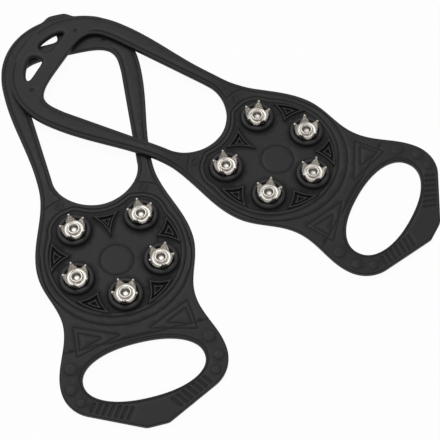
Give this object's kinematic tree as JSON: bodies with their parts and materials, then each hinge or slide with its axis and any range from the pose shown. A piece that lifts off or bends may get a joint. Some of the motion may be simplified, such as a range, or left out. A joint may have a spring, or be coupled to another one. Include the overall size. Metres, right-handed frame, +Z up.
{
  "type": "ice cleat",
  "caption": "pair of slip-on rubber ice cleats: a studded pad with toe loop and heel loop that stretch over a shoe, steel crowns riveted through the pad, laid spikes up",
  "frame": {"origin": "the middle of the left pad, on its sole face, which lies on the ground with the spikes up", "axes": "+X across the left cleat, +Y along it from toe to heel, +Z up out of the spiked face"},
  "size_m": [0.2323, 0.2706, 0.0104],
  "materials": {
    "rubber": "matte moulded",
    "crown_steel": "bright plated",
    "rivet_steel": "bright plated"
  },
  "bodies": {
    "left_base": {"left_pad": "rubber", "left_rivet_1": "rivet_steel", "left_rivet_2": "rivet_steel", "left_rivet_3": "rivet_steel", "left_rivet_4": "rivet_steel", "left_rivet_5": "rivet_steel"},
    "left_toe": {"left_toe_loop": "rubber"},
    "left_heel": {"left_heel_loop": "rubber"},
    "left_crown_1": {"left_crown_1": "crown_steel"},
    "left_crown_2": {"left_crown_2": "crown_steel"},
    "left_crown_3": {"left_crown_3": "crown_steel"},
    "left_crown_4": {"left_crown_4": "crown_steel"},
    "left_crown_5": {"left_crown_5": "crown_steel"},
    "right_base": {"right_pad": "rubber", "right_rivet_1": "rivet_steel", "right_rivet_2": "rivet_steel", "right_rivet_3": "rivet_steel", "right_rivet_4": "rivet_steel", "right_rivet_5": "rivet_steel"},
    "right_toe": {"right_toe_loop": "rubber"},
    "right_heel": {"right_heel_loop": "rubber"},
    "right_crown_1": {"right_crown_1": "crown_steel"},
    "right_crown_2": {"right_crown_2": "crown_steel"},
    "right_crown_3": {"right_crown_3": "crown_steel"},
    "right_crown_4": {"right_crown_4": "crown_steel"},
    "right_crown_5": {"right_crown_5": "crown_steel"}
  },
  "joints": [
    {"name": "right_lift", "type": "slide", "parent": "left_base", "child": "right_base", "axis": [0, 0, 1], "range_m": [0, 0.08]},
    {"name": "left_toe_fold", "type": "hinge", "parent": "left_base", "child": "left_toe", "pos_m": [0, -0.05205, 0.0015], "axis": [1, 0, 0], "range_deg": [-95, 95], "stiffness_Nm_per_rad": 0.1},
    {"name": "left_heel_fold", "type": "hinge", "parent": "left_base", "child": "left_heel", "pos_m": [0, 0.049, 0.0015], "axis": [1, 0, 0], "range_deg": [-95, 0], "stiffness_Nm_per_rad": 0.15},
    {"name": "left_crown_1_turn", "type": "hinge", "parent": "left_base", "child": "left_crown_1", "pos_m": [-0.0189, 0.0231, 0.0047], "axis": [0, 0, 1], "continuous": true},
    {"name": "left_crown_2_turn", "type": "hinge", "parent": "left_base", "child": "left_crown_2", "pos_m": [0.0189, 0.0231, 0.0047], "axis": [0, 0, 1], "continuous": true},
    {"name": "left_crown_3_turn", "type": "hinge", "parent": "left_base", "child": "left_crown_3", "pos_m": [0.0234, -0.0063, 0.0047], "axis": [0, 0, 1], "continuous": true},
    {"name": "left_crown_4_turn", "type": "hinge", "parent": "left_base", "child": "left_crown_4", "pos_m": [0, -0.0222, 0.0047], "axis": [0, 0, 1], "continuous": true},
    {"name": "left_crown_5_turn", "type": "hinge", "parent": "left_base", "child": "left_crown_5", "pos_m": [-0.0234, -0.0063, 0.0047], "axis": [0, 0, 1], "continuous": true},
    {"name": "right_toe_fold", "type": "hinge", "parent": "right_base", "child": "right_toe", "pos_m": [0.14027, 0.0036, 0.0015], "axis": [0.682, 0.7314, 0], "range_deg": [-95, 95], "stiffness_Nm_per_rad": 0.1},
    {"name": "right_heel_fold", "type": "hinge", "parent": "right_base", "child": "right_heel", "pos_m": [0.06636, 0.07252, 0.0015], "axis": [0.682, 0.7314, 0], "range_deg": [0, 95], "stiffness_Nm_per_rad": 0.15},
    {"name": "right_crown_1_turn", "type": "hinge", "parent": "right_base", "child": "right_crown_1", "pos_m": [0.07242, 0.04103, 0.0047], "axis": [0, 0, 1], "continuous": true},
    {"name": "right_crown_2_turn", "type": "hinge", "parent": "right_base", "child": "right_crown_2", "pos_m": [0.0982, 0.06868, 0.0047], "axis": [0, 0, 1], "continuous": true},
    {"name": "right_crown_3_turn", "type": "hinge", "parent": "right_base", "child": "right_crown_3", "pos_m": [0.12277, 0.05192, 0.0047], "axis": [0, 0, 1], "continuous": true},
    {"name": "right_crown_4_turn", "type": "hinge", "parent": "right_base", "child": "right_crown_4", "pos_m": [0.11844, 0.02396, 0.0047], "axis": [0, 0, 1], "continuous": true},
    {"name": "right_crown_5_turn", "type": "hinge", "parent": "right_base", "child": "right_crown_5", "pos_m": [0.09085, 0.01769, 0.0047], "axis": [0, 0, 1], "continuous": true}
  ]
}
